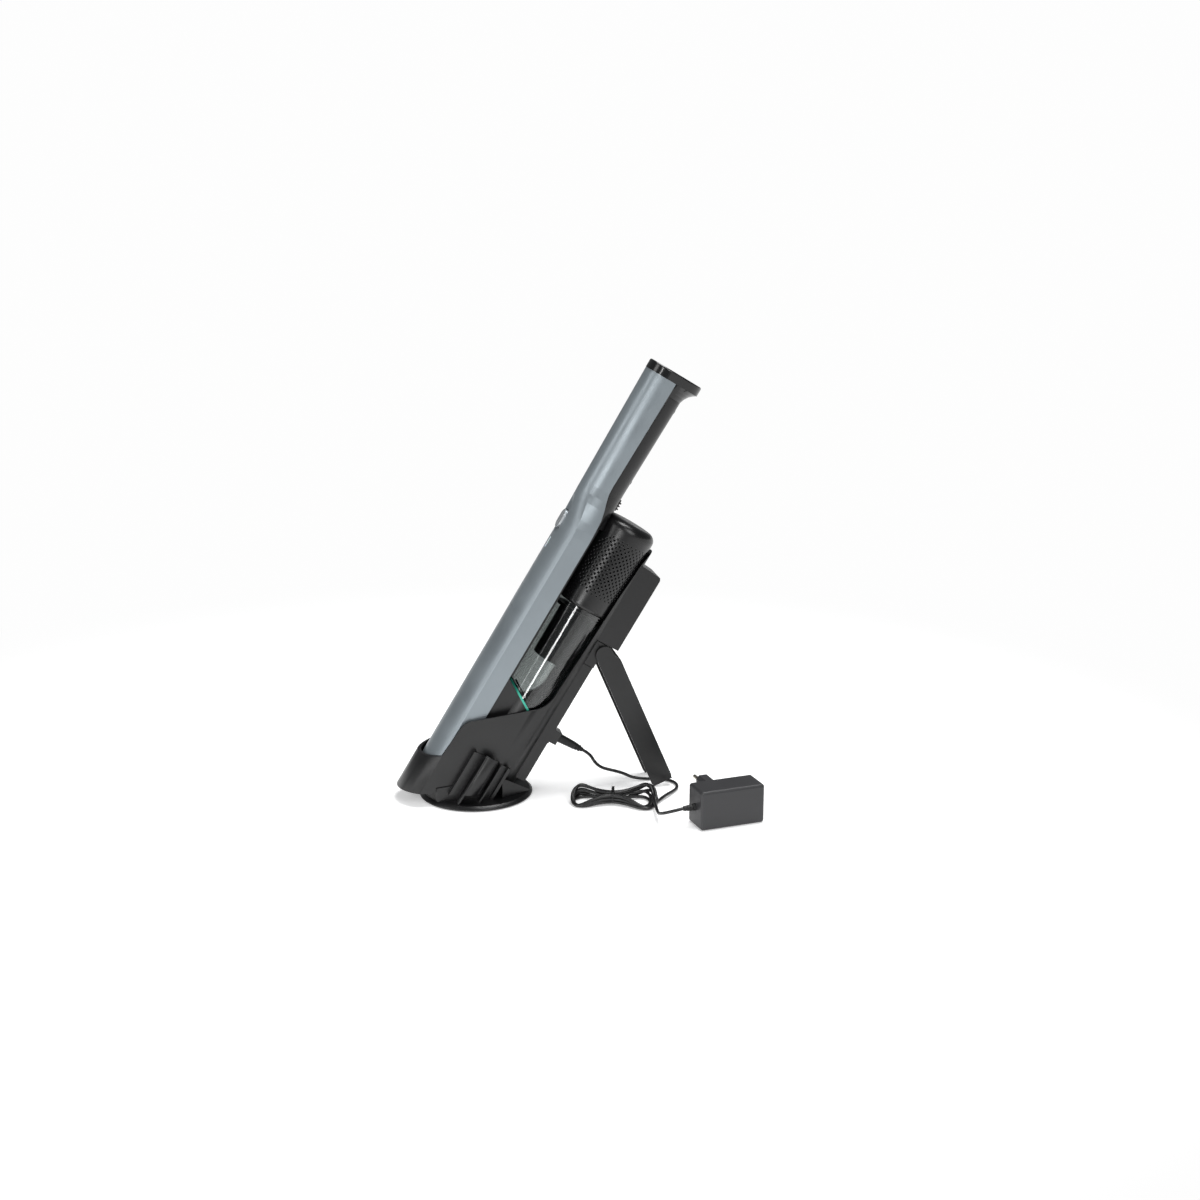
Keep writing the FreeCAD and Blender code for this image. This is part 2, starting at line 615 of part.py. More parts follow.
def cradle():
    """Sleeve for the nose and open trough for the cup on a hollow pedestal, one moulding."""
    half, inner_half = dim("cradle_half"), dim("cavity_half")
    low, high, top = dim("sleeve_low"), dim("cradle_high"), dim("cradle_high") + 8
    outer = column(cradle_outline(dim("cradle_front"), half, half), -75, high)
    cavity = column(cradle_outline(dim("cavity_front"), inner_half, inner_half), -75, high + 5)
    rim = slab([(-8, -3.0), (-2.0, -3.0), ("arc", (5.0, 2.5), (13.6, 10.0)), (16.2, 44.0),
                ("arc", (18.6, 51.5), (24, 56.5)), (68, 91.8), ("arc", (79, 101.5), (84.6, 122)),
                (90.4, 236), (93.2, 264), ("arc", (96.6, 281), (102.5, 291)), (110, 291), (110, top), (-8, top)], 90)
    room = cut(cavity, below(dim("floor_top")))
    pins = [rod(1.2, 12, (95, across, 240), DEEP) for across in (-6, 6)]
    sleeve = cut(outer, below(low), rim, room, *pins)
    foot = common(column(cradle_outline(dim("cradle_front"), half, half), -75, 60),
                  over_disc(54.0, dim("disc_top"), low + 0.01))
    hollow = common(column(cradle_outline(dim("cavity_front"), inner_half - 2, inner_half - 2), -75, 60),
                    over_disc(51.0, dim("disc_top") - 1, low))
    keep(fuse(sleeve, cut(foot, hollow)), "cradle", LEAN)


def back_block(outline, half, hollow, screws):
    """Hollow block on the round back of the cradle, with posts and holes for its screws."""
    skin = cut(slab(outline, 2 * half), box(*hollow))
    posts = [rod("screw_head + 1.2", face - 91, (90, 0, height), DEEP) for face, height, _ in screws]
    rooms = [screw(face, 0, height, shank, 0.03) for face, height, shank in screws]
    return cut(fuse(skin, *posts), rod("cradle_half", 400, (dim("axis_depth"), 0, -40)), *rooms)


def spine_parts():
    """Cover of the spine, hinge block of the kickstand and head with the charging pins."""
    back, half, wall = dim("spine_back"), dim("spine_half"), dim("cover_wall")
    low, high = 21.8, 157.4
    cover_screws = [(back, height, 3.4) for height in (44.0, 140.0)]
    keep(back_block([(80, low), (back - 1, low), (back, low + 1), (back, high), (80, high)], half,
                    ((80, -half + wall, low + wall), (back - wall, half - wall, high - wall)), cover_screws),
         "spine_cover", LEAN)
    block_half = half - 0.2
    block = cut(fuse(slab([(85, 157.6), (107, 157.6), (107, 184.8), (85, 184.8)], 2 * block_half),
                     rod(8.4, 2 * block_half, (dim("pivot_depth"), block_half, dim("pivot_height")), ACROSS)),
                rod("cradle_half", 400, (dim("axis_depth"), 0, -40)),
                rod("pin_radius", 60, (dim("pivot_depth"), 30, dim("pivot_height")), ACROSS))
    keep(block, "hinge_block", LEAN)
    face = dim("head_back")
    low, high = dim("head_low"), dim("head_high")
    head_screws = [(face, height, 12.0) for height in (198.0, 258.0)]
    keep(back_block([(80, low), (face, low), (face, high - 3), (face - 1.5, high - 0.4), (97, high + 1.5),
                     (80, high + 1.5)], dim("head_half"),
                    ((80, -17.6, low + 2.4), (face - 2.4, 17.6, high - 3)), head_screws), "stand_head", LEAN)
    screws = [screw(depth, 0, height, shank) for depth, height, shank in cover_screws + head_screws]
    keep(group(*screws), "stand_screws", LEAN)
    keep(box((104.2, -12, 212), (105.8, 12, 250)), "contact_board", LEAN)
    keep(group(*[rod(1.2, 6.2, (98.0, across, 240), DEEP) for across in (-6, 6)]), "contact_pins", LEAN)
    keep(group(*[screw(depth, 0, height, GRIP_SHANK) for depth, height in GRIP_SCREWS]), "grip_screws", LEAN)


def base_parts():
    """Round base disc and the rubber sheet under it."""
    low, top, radius = dim("disc_low"), dim("disc_top"), dim("disc_radius")
    pad_radius, pad_top = dim("pad_radius"), dim("pad_thick")
    disc = turned([(0, pad_top), (pad_radius + 0.4, pad_top), (pad_radius + 0.4, low), (radius - 0.6, low),
                   (radius, low + 0.6), (radius, low + 1.4), (radius - 3.2, top), (0, top)])
    keep(disc, "base_disc", WORLD)
    keep(rod("pad_radius", "pad_thick"), "base_pad", WORLD)


FIN_ROWS = ((40.0, 3.4, 40.0, 13.8), (50.6, 1.2, 45.4, 5.0), (62.4, 1.2, 44.0, 13.8), (68.3, 1.2, 45.6, 5.0),
            (79.3, 3.0, 38.5, 5.0))


def tool_post(label, sign):
    """Comb of fins on the cradle's side that a spare nozzle slips over, with its two feet."""
    root, top, disc = dim("cradle_half"), 31.0, dim("disc_top")
    pieces = [cut(box_sided(38.4, 80.6, root, root + 1.2, -60, top - 1, sign), below(disc))]
    for depth, thick, reach, foot in FIN_ROWS:
        fin = box_sided(depth - thick / 2, depth + thick / 2, root, reach, -60, top, sign)
        pieces.append(cut(fin, below(foot)))
    face = [(50.2, sign * 43.4), ("arc", (56.8, sign * 46.2), (63.4, sign * 43.4)),
            (63.4, sign * 41.4), ("arc", (56.8, sign * 44.2), (50.2, sign * 41.4))]
    pieces.append(cut(column(face, -60, top + 3), below(13.8)))
    skirt = pad([(12.2, -32.1), (38.5, -12.0), (39.0, -12.0), (39.0, -60), (12.2, -60)], "XZ_Plane",
                root if sign < 0 else -root - 1.6, 1.6)
    pieces.append(cut(common(skirt, over_disc(55.0, 0, 60)), below(disc)))
    gusset = pad([(-5, disc), (32.0, disc), (0, 24.0), (-5, 24.0)], "XZ_Plane", -0.8, 1.6)
    turn = Rotation(Vector(0, 0, 1), -sign * 30.3)
    gusset.Placement = LEAN.inverse().multiply(Placement(Vector(25.8, sign * 34.5, 0), turn))
    keep(fuse(*pieces, gusset), label, LEAN)


def box_sided(x_low, x_high, y_in, y_out, z_low, z_high, sign):
    """Box on one side of the middle plane, from an inner to an outer distance."""
    y_low, y_high = sorted((sign * y_in, sign * y_out))
    return box((x_low, y_low, z_low), (x_high, y_high, z_high))


# ---------------------------------------------------------------- kickstand
PIVOT = world(dim("pivot_depth"), 0, dim("pivot_height"))
LEG = Placement(PIVOT, Rotation(Vector(0, 1, 0), -dim("leg_angle")))


def kickstand():
    """Channel leg that straddles the spine when folded, with a slot that clears the plug."""
    radius, back, long = dim("knuckle_radius"), dim("leg_back"), dim("leg_long") - dim("foot_thick")
    outline = [(-radius, 0), ("arc", (0, radius), (radius, 0)), (radius, -4), (back - 1.6, -9),
               ("arc", (back - 0.4, -10.2), (back, -12)), (back, -long), (-radius, -long)]
    body = slab(outline, 2 * dim("leg_half"))
    inner_half = dim("leg_half") - dim("leg_wall")
    channel = slab([(-radius - 1, radius + 1), (-radius - 1, -long - 1), (back - dim("leg_wall"), -long - 1),
                    (back - dim("leg_wall"), -14), (back + 2, -10), (back + 2, radius + 1)], 2 * inner_half)
    slot = box((0, -dim("slot_half"), -long - 1), (back + 2, dim("slot_half"), -dim("slot_start")))
    bearing = rod("pin_radius + pin_gap", 2 * (dim("leg_half") - 0.6), (0, dim("leg_half") - 0.6, 0), ACROSS)
    keep(cut(body, channel, slot, bearing), "kickstand_leg", LEG)
    keep(rod("pin_radius", 2 * (dim("leg_half") - 0.8), (PIVOT.x, dim("leg_half") - 0.8, PIVOT.z), ACROSS), "leg_pin")
    pads = []
    foot = dim("leg_long")
    for sign in (-1, 1):
        wall = box_sided(-radius + 0.6, back - 0.6, dim("slot_half") + 1, dim("leg_half") - 0.5, -foot, -long, sign)
        pads.append(wall)
    keep(cut(group(*pads), box((-20, -19.2, -foot - 1), (back - 2.8, 19.2, -long + 1))), "foot_pads", LEG)


# ---------------------------------------------------------------- jack, plug and cords
JACK = LEAN.multiply(Placement(Vector(0, 0, dim("jack_height")), UPRIGHT))


def jack_and_plug():
    """Power socket on the spine and the barrel plug that sits in it."""
    back, face = dim("spine_back"), dim("jack_face")
    block = fuse(box((back, -8, -7), (face, 8, 7)), box((back, -9.5, -8.5), (back + 4, 9.5, 8.5)))
    socket = rod("barrel_radius + 0.05", 9, (face - 9, 0, 0), DEEP)
    keep(cut(block, socket), "dc_jack", JACK)
    keep(rod(1.0, 8, (face - 9, 0, 0), DEEP), "jack_pin", JACK)
    keep(cut(rod("barrel_radius", 10.2, (face - 8.6, 0, 0), DEEP), rod(1.2, 9.2, (face - 8.6, 0, 0), DEEP)),
         "plug_barrel", JACK)
    start = face + 1.6
    tail = dim("plug_tail")
    handle = primitive("Part::Cone", (start, 0, 0), DEEP, Radius1=4.7, Radius2=3.9, Height=tail - start - 9)
    neck = primitive("Part::Cone", (tail - 9, 0, 0), DEEP, Radius1=3.0, Radius2=2.2, Height=9.0)
    rings = [rod(3.6 - 0.3 * step, 1.8, (tail - 8 + 3.2 * step, 0, 0), DEEP) for step in range(2)]
    keep(fuse(handle, neck, *rings), "plug_body", JACK)


def rounded_path(points):
    """Straight runs joined by tangent arcs, each as large as its two runs allow."""
    stops = [Vector(*point) for point in points]
    edges, radii, here = [], [], stops[0]
    for before, corner, after in zip(stops, stops[1:], stops[2:]):
        back, ahead = (before - corner), (after - corner)
        reach = 0.45 * min(back.Length, ahead.Length)
        back.normalize()
        ahead.normalize()
        half_turn = (math.pi - back.getAngle(ahead)) / 2
        radius = reach / math.tan(half_turn)
        radii.append(radius)
        first, last = corner + back * reach, corner + ahead * reach
        inward = (back + ahead).normalize()
        middle = corner + inward * (radius / math.cos(half_turn) - radius)
        edges.append(Part.LineSegment(here, first).toShape())
        edges.append(Part.Arc(first, middle, last).toShape())
        here = last
    edges.append(Part.LineSegment(here, stops[-1]).toShape())
    return Part.Wire(edges), radii


def cord_tube(label, points):
    """Round lead along a hand-set route, checked against its section times its length."""
    path, radii = rounded_path(points)
    direction = (Vector(*points[1]) - Vector(*points[0])).normalize()
    radius = dim("cord_radius")
    ring = Part.Wire([Part.Circle(Vector(*points[0]), direction, radius).toShape()])
    solid = path.makePipeShell([ring], True, True)
    expected = math.pi * radius ** 2 * path.Length
    print(f"{label}: length {path.Length:.1f} mm, radii {[round(value, 1) for value in radii]}, "
          f"volume {solid.Volume:.0f} of {expected:.0f}")
    feature = doc.addObject("Part::Feature", label)
    feature.Shape = solid
    keep(feature, label)


PLUG_TAIL = world(dim("plug_tail"), 0, dim("jack_height"))
PLUG_AHEAD = world(dim("plug_tail") + 9.5, 0, dim("jack_height"))
PLUG_ROUTE = [(PLUG_TAIL.x, 0, PLUG_TAIL.z), (PLUG_AHEAD.x, 0, PLUG_AHEAD.z), (123.6, -0.4, 23.0), (131.0, 0.6, 16.2),
              (142.5, -0.4, 13.0), (153.5, 0.4, 9.0), (163.0, -0.6, 3.8), (175.0, -1.6, 1.8),
              (189.0, -3.4, 1.7), (200.0, -9.6, 1.8), (205.6, -21.0, 1.7), (203.6, -34.0, 1.8),
              (195.4, -45.0, 2.1), (187.0, -55.0, 3.6), (178.0, -63.0, 5.0)]
RELIEF_TAIL = (184.2, -136.2, 19.9)
ADAPTER_ROUTE = [RELIEF_TAIL, (169.6, -137.2, 17.6), (163.6, -124.6, 11.6), (165.0, -110.0, 7.0),
                 (170.0, -96.0, 6.0)]


def cords():
    """Lead from the plug to the hank, the tied hank, and the lead to the adapter."""
    cord_tube("cord_plug_run", PLUG_ROUTE)
    cord_tube("cord_adapter_run", ADAPTER_ROUTE)
    outline = [(89, -27), ("arc", (98, -24.5), (108, -31)), (124, -47), (140, -48), (156, -39),
               ("arc", (172.5, -44), (178, -63)), ("arc", (180, -82), (170, -96)), ("arc", (160, -99.5), (150, -96)),
               (134, -73), (118, -71), (104, -75), ("arc", (89, -72), (84.5, -58)), ("arc", (81.5, -40), (89, -27))]
    hank = column(outline, 0.2, 16.0)
    tie, groove = hank_tie()
    keep(cut(hank, groove), "cord_hank")
    keep(tie, "hank_tie")


def hank_tie():
    """Tie round the hank's waist, and the groove it sits in."""
    outer = box((128.4, -73.8, 0.1), (130.6, -45.2, 17.6))
    core = box((127.0, -72.2, 1.6), (132.0, -46.8, 14.6))
    groove = cut(box((128.3, -80, -1), (130.7, -40, 20)), box((128.0, -72.2, 1.6), (131.0, -46.8, 14.6)))
    return cut(outer, core), groove


# ---------------------------------------------------------------- mains adapter
ADAPTER = Placement(Vector(dim("adapter_x"), dim("adapter_y"), 0), Rotation(Vector(0, 0, 1), dim("adapter_turn")))


def rounded_box(low, high, radius):
    """Box with its edges along the adapter's length and height rounded."""
    base = box(low, high)
    doc.recompute()
    rounded = doc.addObject("Part::Fillet", "rounded")
    rounded.Base = base
    rounded.Edges = [(number, radius, radius) for number in range(1, 13)]
    return rounded


def adapter():
    """Two-part case, fixed mains plug with its pins, strain relief and what is inside."""
    long, deep, tall, wall = dim("adapter_long"), dim("adapter_deep"), dim("adapter_tall"), dim("adapter_wall")
    split = dim("adapter_split")
    middle = tall / 2
    relief_hole = rod(2.7, 8, (-2, deep / 2, middle), DEEP)
    for label, low, high in (("adapter_front", -1, split), ("adapter_back", split, deep + 1)):
        whole = cut(rounded_box((0, 0, 0), (long, deep, tall), 3.0),
                    box((wall, wall, wall), (long - wall, deep - wall, tall - wall)))
        half = common(whole, box((-1, low, -1), (long + 1, high, tall + 1)))
        keep(cut(half, relief_hole), label, ADAPTER)
        relief_hole = rod(2.7, 8, (-2, deep / 2, middle), DEEP)
    nose = primitive("Part::Cone", (0.0, deep / 2, middle), Rotation(Vector(0, 1, 0), -90), Radius1=3.7,
                     Radius2=2.4, Height=12.0)
    neck = rod(2.7, 5, (0, deep / 2, middle), DEEP)
    grooves = [tube(5, 2.5, 1.2, (0, 0, 2.6 + 3.0 * step)) for step in range(3)]
    cutter = group(*grooves)
    cutter.Placement = Placement(Vector(0, deep / 2, middle), Rotation(Vector(0, 1, 0), -90))
    keep(fuse(cut(nose, cutter), neck), "strain_relief", ADAPTER)
    plug_x = 24.0
    hexagon = [(plug_x - 7, 6), (plug_x - 4, 2.2), (plug_x + 4, 2.2), (plug_x + 7, 6), (plug_x + 7, tall - 6),
               (plug_x + 4, tall - 2.2), (plug_x - 4, tall - 2.2), (plug_x - 7, tall - 6)]
    block = pad(hexagon, "XZ_Plane", -(deep + 20), 20.0)
    keep(block, "mains_plug", ADAPTER)
    pins = [rod("mains_pin_radius", "pin_length", (plug_x, deep + 20 + dim("pin_length"), middle + sign * dim("pin_half_gap")),
                ACROSS) for sign in (-1, 1)]
    keep(group(*pins), "mains_pins", ADAPTER)
    keep(box((8, 4, 5), (long - 8, 5.6, tall - 5)), "adapter_board", ADAPTER)
    core = box((18, 5.6, 9), (44, 20, 31))
    caps = [rod(4.0, 14, (52, 5.6 + 14, height), ACROSS) for height in (12, 26)]
    keep(group(core, *caps), "transformer", ADAPTER)


# ---------------------------------------------------------------- build, check and write
upper_shell()
top_panel()
button_parts()
lower_chassis()
handle_grip()
release_slider()
end_cap()
battery()
motor_unit()
dust_cup()
inlet_flap()
nose_duct()
cradle()
spine_parts()
base_parts()
tool_post("tool_post_near", -1)
tool_post("tool_post_far", 1)
kickstand()
jack_and_plug()
cords()
adapter()
doc.recompute()

failed = [item.Label for item in doc.Objects if {"Invalid", "Error"} & set(item.State)]
if failed:
    raise SystemExit(f"features that did not compute: {failed}")
os.makedirs("parts", exist_ok=True)
for solid in PARTS:
    if solid.Shape.isNull() or not solid.Shape.isValid():
        raise SystemExit(f"{solid.Label} has no valid shape")
    if not solid.Shape.Solids:
        raise SystemExit(f"{solid.Label} has no solid")
    solid.Shape.exportStep(f"parts/{solid.Label}.step")
print(len(PARTS), "parts written")
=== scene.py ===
# %% [markdown]
# # Cordless handheld vacuum on its charging stand
# The exact shapes and the joints come from the CAD frame. This lesson dresses that frame: it makes
# the loose lead, the pierced motor cover, the pleated filter and the other fine pieces as meshes,
# and gives every moulding, metal and rubber its own finish.

# %% Load the frame
import math
import bpy
import bmesh
from mathutils import Matrix, Vector


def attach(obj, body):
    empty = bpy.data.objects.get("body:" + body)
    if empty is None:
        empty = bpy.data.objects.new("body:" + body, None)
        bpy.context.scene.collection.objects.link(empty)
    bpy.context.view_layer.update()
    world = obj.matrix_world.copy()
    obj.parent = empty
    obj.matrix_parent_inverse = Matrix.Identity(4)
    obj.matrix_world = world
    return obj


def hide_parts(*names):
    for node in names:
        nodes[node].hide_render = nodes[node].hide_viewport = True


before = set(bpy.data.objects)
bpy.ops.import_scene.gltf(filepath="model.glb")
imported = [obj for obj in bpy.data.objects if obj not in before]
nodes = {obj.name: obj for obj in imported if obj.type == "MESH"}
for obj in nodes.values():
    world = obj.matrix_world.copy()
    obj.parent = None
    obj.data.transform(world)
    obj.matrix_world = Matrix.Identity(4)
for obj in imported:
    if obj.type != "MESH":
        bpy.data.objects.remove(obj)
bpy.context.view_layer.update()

MM = 0.001

# %% [markdown]
# ## Camera
# The viewer stands a little to the nose side and looks down about fifteen degrees. A long lens
# from well back keeps the leaning vacuum free of strong perspective.

# %% Camera
AZIMUTH, ELEVATION = math.radians(11.34), math.radians(14.96)
camera_data = bpy.data.cameras.new("camera")
camera_data.lens = 54.0
camera_data.sensor_width = 36.0
camera = bpy.data.objects.new("camera", camera_data)
bpy.context.scene.collection.objects.link(camera)
camera.location = (-0.2158, -1.7205, 0.6651)
camera.rotation_euler = (math.pi / 2 - ELEVATION, 0.0, -AZIMUTH)
bpy.context.scene.camera = camera
print("camera", tuple(round(value, 3) for value in camera.location))

# %% [markdown]
# ## The leaning frame
# The vacuum and the cradle lean back, so their pieces are easiest to build upright and then set
# in the leaning frame, or about the motor's axis, which runs parallel to it.

# %% Leaning frame and motor axis
LEAN = Matrix.Translation(Vector((-54.7, 0, 51.0)) * MM) @ Matrix.Rotation(math.radians(31.3), 4, "Y")
AXIS = LEAN @ Matrix.Translation(Vector((69.0, 0, 0)) * MM)


def lean(depth, across, height):
    """Point of the leaning frame, given in millimetres, in the row frame."""
    return LEAN @ (Vector((depth, across, height)) * MM)


# %% [markdown]
# ## The lead
# The real lead is a thin, limp two-core cord. It leaves the low-voltage plug, drops to the floor,
# passes through the slot of the leg and round its foot, is folded into a hank held by a twisted
# tie, and runs on to the mains adapter. One smooth spline carries the whole length, and each turn
# of the hank is a bow-tie of control points whose lobes differ in size and fan out.

# %% Route of the lead
PLUG_TAIL = lean(148.0, 0, 74.5)
PLUG_AHEAD = lean(157.5, 0, 74.5)
PLUG_ROUTE = [(123.6, -0.4, 23.0), (131.0, 0.6, 16.2), (142.5, -0.4, 13.0), (153.5, 0.4, 9.0),
              (163.0, -0.6, 3.8), (175.0, -1.6, 1.8), (189.0, -3.4, 1.7), (200.0, -9.6, 1.8),
              (205.6, -21.0, 1.7), (203.6, -34.0, 1.8), (195.4, -45.0, 2.1), (187.0, -55.0, 3.6)]
RELIEF_TAIL = (184.2, -136.2, 19.9)
ADAPTER_ROUTE = [(165.0, -110.0, 7.0), (163.6, -124.6, 11.6), (169.6, -137.2, 17.6), RELIEF_TAIL]
CORD_DIAMETER = 0.0032

# %% Turns of the hank
HANK_MIDDLE = Vector((130.5, -59.0, 8.2))
HANK_LONG = Vector((0.972, -0.235, 0.0))
HANK_ACROSS = Vector((0.235, 0.972, 0.0))
# reach left, reach right, lobe left, lobe right, roll in degrees, waist, layer
TURNS = [(43, 44, 17, 22, -4, 5.0, 3.5), (37, 38, 12, 14, 8, 1.7, 3.5), (44, 45, 18, 20, 24, 5.0, 6.8),
         (38, 39, 13, 15, 26, 1.7, 6.8), (43, 44, 16, 20, 38, 5.0, 10.1), (40, 41, 15, 17, 44, 1.7, 10.1)]
STEPS = 20


def hank_points():
    """Control points of the turns: twelve runs packed at the waist, lobes blended between turns."""
    points = []
    for step in range(STEPS * len(TURNS) + 1):
        place = step / STEPS
        turn = min(int(place), len(TURNS) - 1)
        share = place - turn
        now, after = TURNS[turn], TURNS[min(turn + 1, len(TURNS) - 1)]
        left, right, lobe_left, lobe_right, roll = (a + (b - a) * share for a, b in zip(now[:5], after[:5]))
        waist = now[5]
        layer = now[6] + (after[6] - now[6]) * max(share - 0.8, 0) / 0.2
        angle = -2 * math.pi * place
        along, round_about = math.cos(angle), math.sin(angle)
        reach, lobe = (right, lobe_right) if along > 0 else (left, lobe_left)
        across = round_about * (waist + 3.2 * (lobe - waist) * along ** 2 * abs(round_about) ** 0.3)
        tilt = math.radians(roll)
        point = HANK_MIDDLE + HANK_LONG * (reach * along) + HANK_ACROSS * across
        height = layer + across * math.sin(tilt) * along ** 2 - 3.4 * along ** 2
        points.append((point.x, point.y, max(height, 1.75)))
    return points


# %% The lead as one spline
def spline_object(name, points, radius):
    """Round cord along a smooth spline whose control points are the route's points, in metres."""
    data = bpy.data.curves.new(name, "CURVE")
    data.dimensions = "3D"
    data.bevel_depth = radius
    data.bevel_resolution = 4
    data.resolution_u = 6
    data.use_fill_caps = True
    line = data.splines.new("NURBS")
    line.points.add(len(points) - 1)
    for knot, point in zip(line.points, points):
        knot.co = (*point, 1.0)
    line.order_u = 3
    line.use_endpoint_u = True
    made = bpy.data.objects.new(name, data)
    bpy.context.scene.collection.objects.link(made)
    return made


turns = hank_points()
route = [Vector(PLUG_TAIL), Vector(PLUG_AHEAD)]
route += [Vector(point) * MM for point in PLUG_ROUTE + turns + ADAPTER_ROUTE]
lead = spline_object("lead", route, CORD_DIAMETER / 2)
length = sum((b - a).length for a, b in zip(route, route[1:]))
print(f"lead: {len(route)} control points, {length:.3f} m along them")

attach(lead, "stand")
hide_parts("cord_plug_run", "cord_hank", "cord_adapter_run")

# %% [markdown]
# ## Floor and light
# A product picture has a white sweep, yet the black mouldings stay black, because most of what
# they mirror is dark studio. The surround is therefore white only where it is seen directly, and a
# dim grey to everything it lights. The shapes are then drawn by a few panels: one beside the viewer
# for the painted flank, one on the nose side for the top face, and one over the top.

# %% Surround
world = bpy.data.worlds.new("surround")
bpy.context.scene.world = world
world.use_nodes = True
sky = world.node_tree
sky.nodes.clear()
seen = sky.nodes.new("ShaderNodeLightPath")
backdrop = sky.nodes.new("ShaderNodeBackground")
backdrop.inputs["Strength"].default_value = 0.985
backdrop.inputs["Color"].default_value = (1.0, 1.0, 1.0, 1.0)
fill = sky.nodes.new("ShaderNodeBackground")
fill.inputs["Color"].default_value = (0.95, 0.98, 1.0, 1.0)
fill.inputs["Strength"].default_value = 0.17
choose = sky.nodes.new("ShaderNodeMixShader")
shown = sky.nodes.new("ShaderNodeOutputWorld")
sky.links.new(seen.outputs["Is Camera Ray"], choose.inputs[0])
sky.links.new(fill.outputs["Background"], choose.inputs[1])
sky.links.new(backdrop.outputs["Background"], choose.inputs[2])
sky.links.new(choose.outputs["Shader"], shown.inputs["Surface"])
bpy.context.scene.view_settings.view_transform = "Standard"


# %% Light panels
def light_panel(name, place, target, width, height, watts):
    """Rectangular area light that faces a target."""
    data = bpy.data.lights.new(name, "AREA")
    data.shape = "RECTANGLE"
    data.size, data.size_y, data.energy = width, height, watts
    made = bpy.data.objects.new(name, data)
    bpy.context.scene.collection.objects.link(made)
    made.location = place
    made.rotation_euler = (Vector(target) - Vector(place)).to_track_quat("-Z", "Y").to_euler()
    return made


light_panel("panel_viewer", (0.55, -1.5, 1.15), (0.05, 0.0, 0.2), 0.8, 0.9, 11)
light_panel("panel_nose_side", (-1.3, -0.4, 0.7), (0.0, 0.0, 0.2), 0.5, 1.3, 6)
light_panel("panel_over", (0.35, 0.1, 1.5), (0.05, 0.0, 0.1), 0.9, 0.7, 22)
light_panel("panel_strip", (-0.75, -1.25, 0.55), (0.05, 0.0, 0.25), 0.16, 0.9, 6.5)

# %% Floor
floor_mesh = bpy.data.meshes.new("floor")
HALF_FLOOR, FLOOR_DROP = 6, 0.0003
corners_of_floor = [(-HALF_FLOOR, -HALF_FLOOR, 0), (HALF_FLOOR, -HALF_FLOOR, 0),
                    (HALF_FLOOR, HALF_FLOOR, 0), (-HALF_FLOOR, HALF_FLOOR, 0)]
floor_mesh.from_pydata(corners_of_floor, [], [(0, 1, 2, 3)])
floor = bpy.data.objects.new("floor", floor_mesh)
bpy.context.scene.collection.objects.link(floor)
floor.location.z = -FLOOR_DROP


# %% [markdown]
# ## Pierced motor cover
# The real cover is one moulded cap whose two sides are pierced with rows of round air holes, and
# the holes shrink towards the rim of each field. Cutting hundreds of holes with booleans is slow
# and leaves poor meshes, so the wall is laid out as a wrapped grid of square tiles: every other
# tile of a field is drawn with an eight-sided hole in it, and Solidify gives the wall its
# thickness, hole walls included.

# %% Tiles of the cover
COVER_RADIUS, COVER_LOW, COVER_HIGH, COVER_ROUND, COVER_WALL = 29.0, 207.0, 303.0, 9.0, 2.4
COLUMNS, ROWS = 68, 32
TILE_TALL = (COVER_HIGH - COVER_ROUND - COVER_LOW) / ROWS
FIELD_HEIGHT = 255.0


def around(radius, angle, height):
    """Point at a radius, an angle and a height about an upright axis."""
    return Vector((radius * math.cos(angle), radius * math.sin(angle), height))


def on_cover(column, row):
    """Point of the cover's outer wall at a fractional column and row, in millimetres about its axis."""
    angle = 2 * math.pi * column / COLUMNS
    return around(COVER_RADIUS, angle, COVER_LOW + TILE_TALL * row)


def hole_size(column, row):
    """Radius of the air hole in a tile, or zero outside the two fields."""
    if (column + row) % 2:
        return 0.0
    middle = on_cover(column + 0.5, row + 0.5)
    from_side = COVER_RADIUS * math.asin(min(abs(middle.x) / COVER_RADIUS, 1))
    rim = (from_side / 31.0) ** 4 + ((middle.z - FIELD_HEIGHT) / 31.0) ** 4
    return 0.0 if rim > 1 else 1.2 - 0.5 * rim


def is_contact_window(column, row):
    """True for the tiles left out in front of the two charging contacts."""
    middle = on_cover(column + 0.5, row + 0.5)
    return middle.x > 0 and 2.6 < abs(middle.y) < 8.0 and 233.5 < middle.z < 246.5


